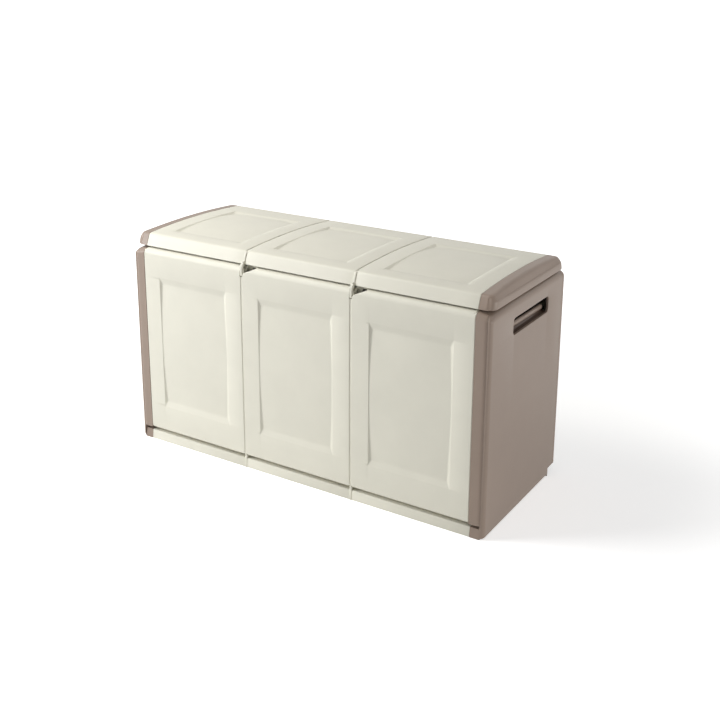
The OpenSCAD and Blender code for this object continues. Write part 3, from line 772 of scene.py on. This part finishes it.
def add_stop_ribs(bm, x0, x1):
    """Adds the ribs inside the lid's lips, front and rear, that rest on the body."""
    for y in (-LID_RIB, LID_RIB):
        add_block(bm, (x0, y - RIB, LID_RIB_FOOT), (x1, y + RIB, 677), 0.5)


class CHEST_OT_lid_panels(Operator):
    """Make the three crowned lid panels with their fields, lips and hinge knuckles"""

    bl_idname = "chest.lid_panels"
    bl_label = "Lid Panels"

    def execute(self, context):
        shape = lid_shape()
        half = MODULE / 2 - mm("field_margin")
        front, rear = mm("lid_field_front") - HALF_DEPTH, HALF_DEPTH - mm("lid_field_rear")
        field_middle, half_along = (front + rear) / 2, (rear - front) / 2
        depths = mm("field_depth"), mm("field_middle")
        notch_high = 11
        for name, place in PLACES.items():
            low, high = reach(f"lid_panel_{name}")
            middle = place * MODULE
            xs, ss = [], [shape.total - notch_high / math.sin(shape.lean)]
            for side in (-1, 1):
                xs += ramp(middle + side * half, -side)
                ss += ramp(field_middle + side * half_along, -side, 36, 10)
            ss += [field_middle + half_along * k / 8 for k in range(-7, 8)]
            hinges = hinge_places(middle)
            notches = [sorted((x + side * 10.25, x + side * 35.3)) for x in hinges for side in (-1, 1)]
            xs += [x for notch in notches for x in notch]
            bm = lid_sheet(low.x, high.x, shape, xs, ss,
                           lambda x, s: sunk(x - middle, s - field_middle, half, half_along, *depths))
            gone = faces_at(bm, lambda c: c.y > 200 and c.z < LID_FOOT + notch_high - 0.1
                            and any(a < c.x < b for a, b in notches))
            bmesh.ops.delete(bm, geom=gone, context="FACES")
            bmesh.ops.recalc_face_normals(bm, faces=bm.faces)
            if sum(f.normal.z * f.calc_area() for f in bm.faces) < 0:
                bmesh.ops.reverse_faces(bm, faces=bm.faces)
            thicken(bm)
            add_stop_ribs(bm, low.x + 1, high.x - 1)
            for x in hinges:
                x0, x1, top, web = x - KNUCKLE_HALF, x + KNUCKLE_HALF, HINGE_Z + KNUCKLE, 233.5
                add_ring(bm, x0, x1, HINGE_Y, HINGE_Z, 3.05, KNUCKLE)
                add_block(bm, (x0, web, HINGE_Z + PIN_ROOM), (x1, HINGE_Y, top), 0.5)
                add_block(bm, (x0, web, HINGE_Z), (x1, HINGE_Y - PIN_ROOM, top), 0.5)
            finish(bm, f"lid_skin_{name}", "lid", "cream", [f"lid_panel_{name}"])
        return {"FINISHED"}


def lid_end():
    """Right lid end: one lip that wraps front, side and rear, a crease over it and a falling top."""
    low, high = reach("lid_end_right")
    low.z = LID_FOOT
    shape, radius = lid_shape(), mm("lid_corner")
    # The side lip's height, half its level run, and how far it leans in
    band, level_run, lean = 28, 110, 3.4
    edge, height = high.y - radius, high.z - low.z
    xs = arc(high.x, 1, radius, 16) + [high.x - 0.8, high.x - 1.8]
    ys = []
    for side in (-1, 1):
        ys += arc(side * high.y, side, radius, 16) + [side * (high.y - d) for d in (0.8, 1.8)]
        ys += [side * edge * k / 12 for k in range(1, 12)]
    levels = (0.02, 0.05, 0.1, 0.2, 0.3, 0.4, 0.5, 0.6, 0.7, 0.8, 0.86, 0.91, 0.95, 0.98)
    bm = block(low, high, (xs, ys, [low.z + height * k for k in levels]))
    gone = [f for f in bm.faces if f.normal.x < -0.5 or f.normal.z < -0.5]
    bmesh.ops.delete(bm, geom=gone, context="FACES")
    for side in (-1, 1):
        round_over(bm.verts, (0, high.x, 1), (1, side * high.y, side), radius)
    for v in bm.verts:
        turn, out, inset = around(v.co.x, v.co.y, high.x, high.y, radius)
        crown = shape.crown_z + math.sqrt(shape.crown_r ** 2 - v.co.y ** 2)
        if inset > radius - 1e-4:
            v.co.z = crown
            continue
        near = min(max((abs(v.co.y) - level_run) / (edge - level_run), 0), 1)
        lip_top = low.z + band + (shape.touch.y - low.z - band) * near * near * (3 - 2 * near)
        if inset < 1e-3 and v.co.z < high.z - 1e-3:  # the lip, from its foot up
            up = (v.co.z - low.z) / height
            run = shape.lip_start + shape.lip_run * (1 - up)
            side_inset = lean * up ** 2.4 + 1.2 * max(1 - up * 12, 0) ** 2
            side_z = low.z + (lip_top - low.z) * up
            fold = crease(up, 1, 0.2, 4)
        else:  # the top, from the lip in
            deep = inset / radius
            run = shape.lip_start + (edge - shape.lip_start) * deep
            side_inset = lean + (radius - lean) * deep
            side_z = lip_top + (crown - lip_top) * (1 - (1 - deep) ** 2.6)
            fold = crease(deep, 0, 0.28, 4)
        front, _ = lid_point(run, shape)
        target = high.y - front.x + (side_inset - high.y + front.x) * turn + fold * turn * 0.5
        z = front.y + (side_z - front.y) * turn - fold * turn * 0.9
        if 0 < turn < 1:
            target += crease(turn, 0.26, 0.15, 1.9) * (1 - min(inset / 6, 1))
            centre = Vector((high.x - radius, math.copysign(edge, v.co.y)))
            place = centre + out * (radius - min(target, radius))
        else:
            place = v.co.xy - out * (target - inset)
        v.co = (*place, z)
    bmesh.ops.recalc_face_normals(bm, faces=bm.faces)
    thicken(bm)
    add_stop_ribs(bm, low.x, 595)
    add_block(bm, (594, -LID_RIB, LID_RIB_FOOT), (597.5, LID_RIB, 684), 0.5)
    return bm


class CHEST_OT_lid_ends(Operator):
    """Make the two end caps of the lid"""

    bl_idname = "chest.lid_ends"
    bl_label = "Lid Ends"

    def execute(self, context):
        add_both_ends("lid", (lid_end, "lid_cap", "taupe", "lid_end_{}"))
        return {"FINISHED"}


def tapered_bar(stations, edge):
    """Upright bar that follows stations (z, front y, back y, half width)."""
    zs = [station[0] for station in stations]
    cuts = arc(-1, -1, edge, 4) + arc(1, 1, edge, 4)
    bm = block((-1, -1, zs[0]), (1, 1, zs[-1]), (cuts, cuts, zs[1:-1]))
    for x_side in (-1, 1):
        for y_side in (-1, 1):
            round_over(bm.verts, (0, x_side, x_side), (1, y_side, y_side), edge)
    for v in bm.verts:
        _, front, back, half = min(stations, key=lambda s: abs(s[0] - v.co.z))
        v.co.x *= half
        v.co.y = (front + back) / 2 + v.co.y * (back - front) / 2
    return bm


class CHEST_OT_lid_joiners(Operator):
    """Make the spines between the lid panels, their hidden flanges and the beads that end in lock tabs"""

    bl_idname = "chest.lid_joiners"
    bl_label = "Lid Joiners"

    def execute(self, context):
        shape = lid_shape()
        for name, joint in JOINTS.items():
            bm = lid_sheet(joint - 1.9, joint + 1.9, shape, edge=0.8, turn=12, inset=1.8)
            thicken(bm, 1.1)
            finish(bm, f"lid_spine_{name}", "lid", "cream", [f"lid_joiner_{name}"])
            bm = lid_sheet(joint - 14, joint + 14, shape, edge=0.6, turn=0.6, inset=11.6)
            thicken(bm, 2.2)
            finish(bm, f"lid_flange_{name}", "lid", "cream")
            # Bead on the lip, a wider knob over the gap, then the tab that hangs in the notch
            stations = [(618.6, -252, -242, 3.2), (619.4, -253.8, -240.4, 3.9), (621, -254.7, -239.6, 4.2),
                        (626, -254.9, -239, 4.3), (636, -254.9, -239, 4.3), (641, -254.9, -240, 4.5),
                        (643.5, -254.9, -248.5, 5), (646, -254.9, -247.5, 5.6), (649.5, -254.7, -244, 5.6),
                        (652, -253.2, -240, 4.9)]
            for z in (655, 658, 661, 664, 667, 670, 674, 678, 682, 685, 687.5, 689.5):
                lip = -shape.foot.x + (z - LID_FOOT) / math.tan(shape.lean)
                proud = 2.8 * min((691 - z) / 6, 1)
                slope = -254.9 + (z - 651) * 1.2
                stations.append((z, min(lip - proud, slope), lip + 5, 3.9))
            bm = tapered_bar(stations, 0.4)
            bmesh.ops.translate(bm, verts=bm.verts, vec=(joint, 0, 0))
            add_block(bm, (joint - 1.8, -246, 648), (joint + 1.8, -238, 662), 0.4)
            finish(bm, f"lock_tab_{name}", "lid", "cream")
        return {"FINISHED"}


class CHEST_OT_front_joiners(Operator):
    """Make the strips between the front panels, their flanges, ears and ledges over the plinth"""

    bl_idname = "chest.front_joiners"
    bl_label = "Front Joiners"

    def execute(self, context):
        for name, joint in JOINTS.items():
            bm = bmesh.new()
            strip = [(-253.2, 42), (-253.2, 616.8), (-222.5, 616.8), (-222.5, 42)]
            add_bar(bm, strip, joint - 1.9, joint + 1.9, 0.4)
            add_block(bm, (joint - 20, -222.8, 53), (joint + 20, -219.8, 642), 0.4)
            # Ledge that bridges the groove and runs down the plinth as a raised strip
            ledge = [(-254.9, 0.2), (-251.4, 30.2), (-251.4, 43), (-222.5, 43), (-222.5, 30.2),
                     (-249.6, 30.2), (-253, 0.2)]
            add_bar(bm, ledge, joint - 3.6, joint + 3.6, 0.6)
            # Ear with the padlock's eye, behind the scoop
            add_ring(bm, joint + 5.4, joint + 7.8, -246, 634, 4, 6.4, chamfer=0.5, steps=24)
            add_block(bm, (joint + 5.4, -240.2, 629), (joint + 7.8, -229, 639), 0.4)
            add_block(bm, (joint - 1.8, -233, 612), (joint + 7.8, -229, 641), 0.4)
            finish(bm, f"front_spine_{name}", "body", "cream", [f"front_joiner_{name}"])
        return {"FINISHED"}


class CHEST_OT_plinth(Operator):
    """Make the leaning plinth faces in front of the floor panels"""

    bl_idname = "chest.plinth"
    bl_label = "Plinth"

    def execute(self, context):
        for name, place in PLACES.items():
            low, high = reach(f"floor_panel_{name}")
            bm = bmesh.new()
            section = [(PLINTH_TOE, 0.2), (PLINTH_FRONT, PLINTH_TOP), (-222.2, PLINTH_TOP), (-222.2, 27.2),
                       (-247.4, 27.2), (-250.6, 0.2)]
            add_bar(bm, section, low.x - (8 if place < 0 else 0), high.x + (8 if place > 0 else 0), 0.8)
            finish(bm, f"plinth_{name}", "body", "cream")
        return {"FINISHED"}


def grip_plate():
    """Right grip cup's plate with its ledge, painted dark brown for the shade inside the cup."""
    bm = bmesh.new()
    section = [(594.4, 547.2), (616.2, 547.2), (616.2, 549.6), (601, 550.2), (598.4, 553),
               (597.6, 558), (598.6, 566), (594.4, 566)]
    add_bar(bm, section, -114.8, 132.8, 0.4, axis=1)
    return bm


def grip_lip():
    """Right grip cup's rolled lip, which falls a little towards the rear."""
    bm = bmesh.new()
    front, rear = -114, 118
    turns = [math.pi * k / 12 for k in range(-5, 10)]
    roll = [(599 + 6.4 * math.cos(a), 569.8 + 7.6 * math.sin(a)) for a in turns]
    add_bar(bm, [(598, 559)] + roll + [(594.5, 572), (594.5, 559)], front, rear, 0.5, axis=1)
    for v in bm.verts:
        v.co.z -= 4.5 * (v.co.y - front) / 237
    return bm


class CHEST_OT_grip_cups(Operator):
    """Make the cups behind the hand slots: a rolled taupe lip to grip, over a plate and ledge painted dark
    for the shade
    """

    bl_idname = "chest.grip_cups"
    bl_label = "Grip Cups"

    def execute(self, context):
        # The plate and ledge get painted shade (dark brown), the lip keeps the cups' real taupe
        add_both_ends("body", (grip_plate, "grip_plate", "grip", "{}_grip_cup"),
                      (grip_lip, "grip_lip", "taupe", None))
        return {"FINISHED"}


# Carried-over nodes, stage and camera


class CHEST_OT_carried(Operator):
    """Give the nodes that keep their CAD shape their finish and softened edges"""

    bl_idname = "chest.carried"
    bl_label = "Floor, Rear Joiners and Pins"

    def execute(self, context):
        slots = {row["node"]: row["material_slot"] for row in frame["record"]["subparts"]}
        for node, thing in frame["nodes"].items():
            if thing.hide_render:
                continue
            material = finish_of(slots[node])
            if not thing.material_slots:
                thing.data.materials.append(material)
            for slot in thing.material_slots:
                slot.material = material
            if slots[node] != "pin":
                weld = thing.modifiers.new("weld", "WELD")
                weld.merge_threshold = 0.00002
                bevel = thing.modifiers.new("soft_edges", "BEVEL")
                bevel.width, bevel.segments = 0.0007, 2
                bevel.limit_method, bevel.angle_limit = "ANGLE", math.radians(40)
        return {"FINISHED"}


def soft_light(name, kind, place, strength, **settings):
    """Adds a lamp that looks at the chest's middle from a place."""
    data = bpy.data.lights.new(name, kind)
    data.energy = strength
    for key, value in settings.items():
        setattr(data, key, value)
    lamp = new_object(name, data)
    lamp.location = place
    lamp.rotation_euler = (Vector(place) - Vector((0, 0, 0.35))).to_track_quat("Z", "Y").to_euler()


def looked_at(tree):
    """1 for what is seen, directly or in gloss or clear resin, and 0 for what only gives light."""
    path = add_node(tree, "LightPath")
    seen = path.outputs["Is Camera Ray"]
    for ray in ("Is Glossy Ray", "Is Transmission Ray"):
        seen = add_node(tree, "Math", {0: seen, 1: path.outputs[ray]}, operation="MAXIMUM")
    return seen


class CHEST_OT_stage(Operator):
    """Make the floor, the white surroundings, the soft boxes and the camera"""

    bl_idname = "chest.stage"
    bl_label = "Stage"

    def execute(self, context):
        scene = context.scene
        # Matt white paint that the camera sees brighter, and quite white away from the chest, so that
        # it runs into the surroundings
        material = bpy.data.materials.new("painted_studio_floor")
        tree = empty_tree(material)
        diffuse = add_node(tree, "BsdfDiffuse", {"Color": list(scene.chest_colours.floor) + [1]})
        place = add_node(tree, "TexCoord").outputs["Object"]
        away = add_node(tree, "VectorMath", {0: place}, operation="LENGTH")
        fade = add_node(tree, "MapRange", {
            "Value": away.outputs["Value"], "From Min": 0.9, "From Max": 2.2,
            "To Min": 0.58, "To Max": 1.0}, interpolation_type="SMOOTHSTEP")
        glow = add_node(tree, "Math", {0: looked_at(tree), 1: fade}, operation="MULTIPLY")
        light = add_node(tree, "Emission", {"Strength": glow})
        both = add_node(tree, "AddShader", {0: diffuse, 1: light})
        add_node(tree, "OutputMaterial", {"Surface": both})
        bm = bmesh.new()
        bmesh.ops.create_grid(bm, x_segments=1, y_segments=1, size=40)
        mesh_object(bm, "studio_floor", material)

        world = bpy.data.worlds.new("white_studio")
        tree = empty_tree(world)
        level = add_node(tree, "MapRange", {"Value": looked_at(tree), "To Min": 0.25, "To Max": 1.0})
        sky = add_node(tree, "Background", {"Color": (1, 1, 1, 1), "Strength": level})
        add_node(tree, "OutputWorld", {"Surface": sky})
        scene.world = world

        square = {"shape": "SQUARE", "size": 1.4}
        soft_light("left_soft_box", "AREA", (-2.7, -2.3, 1.8), 67, color=(0.95, 0.97, 1), **square)
        soft_light("top_soft_box", "AREA", (-1.5, -1.0, 2.8), 46, color=(1, 0.985, 0.93), **square)
        soft_light("right_soft_box", "SUN", (3.4, 0.45, 0.36), 2.1, color=(1, 0.985, 0.95),
                   angle=math.radians(22))

        data = bpy.data.cameras.new("camera")
        data.lens, data.sensor_width, data.shift_y = 53.407, 36, -0.15
        data.clip_end = 100
        camera = new_object("camera", data)
        yaw, pitch, roll = (math.radians(a) for a in (31.991, 15.653, 0.301))
        camera.matrix_world = (
            Matrix.Translation((1.7024, -2.6244, 1.5399)) @ Matrix.Rotation(yaw, 4, "Z")
            @ Matrix.Rotation(math.pi / 2 - pitch, 4, "X") @ Matrix.Rotation(roll, 4, "Z"))
        scene.camera = camera
        scene.view_settings.view_transform = "Standard"
        return {"FINISHED"}


class CHEST_PT_panel(Panel):
    """Buttons and sizes of the garden storage chest"""

    bl_label = "Garden Storage Chest"
    bl_idname = "CHEST_PT_panel"
    bl_space_type = "VIEW_3D"
    bl_region_type = "UI"
    bl_category = "Chest"

    def draw(self, context):
        for operator in OPERATORS:
            self.layout.operator(operator.bl_idname)
        for group in (context.scene.chest_sizes, context.scene.chest_colours):
            for key in group.bl_rna.properties.keys():
                if key not in ("rna_type", "name"):
                    self.layout.prop(group, key)


OPERATORS = (CHEST_OT_stage, CHEST_OT_front_panels, CHEST_OT_front_joiners, CHEST_OT_plinth,
             CHEST_OT_back_panels, CHEST_OT_end_panels, CHEST_OT_grip_cups, CHEST_OT_lid_panels,
             CHEST_OT_lid_ends, CHEST_OT_lid_joiners, CHEST_OT_carried)
CLASSES = (ChestSizes, ChestColours) + OPERATORS + (CHEST_PT_panel,)


def register():
    for cls in CLASSES:
        bpy.utils.register_class(cls)
    Scene.chest_sizes = PointerProperty(type=ChestSizes)
    Scene.chest_colours = PointerProperty(type=ChestColours)


def unregister():
    del Scene.chest_colours
    del Scene.chest_sizes
    for cls in reversed(CLASSES):
        bpy.utils.unregister_class(cls)


def main():
    register()
    for operator in OPERATORS:
        group, name = operator.bl_idname.split(".")
        getattr(getattr(bpy.ops, group), name)()


if __name__ == "__main__":
    main()
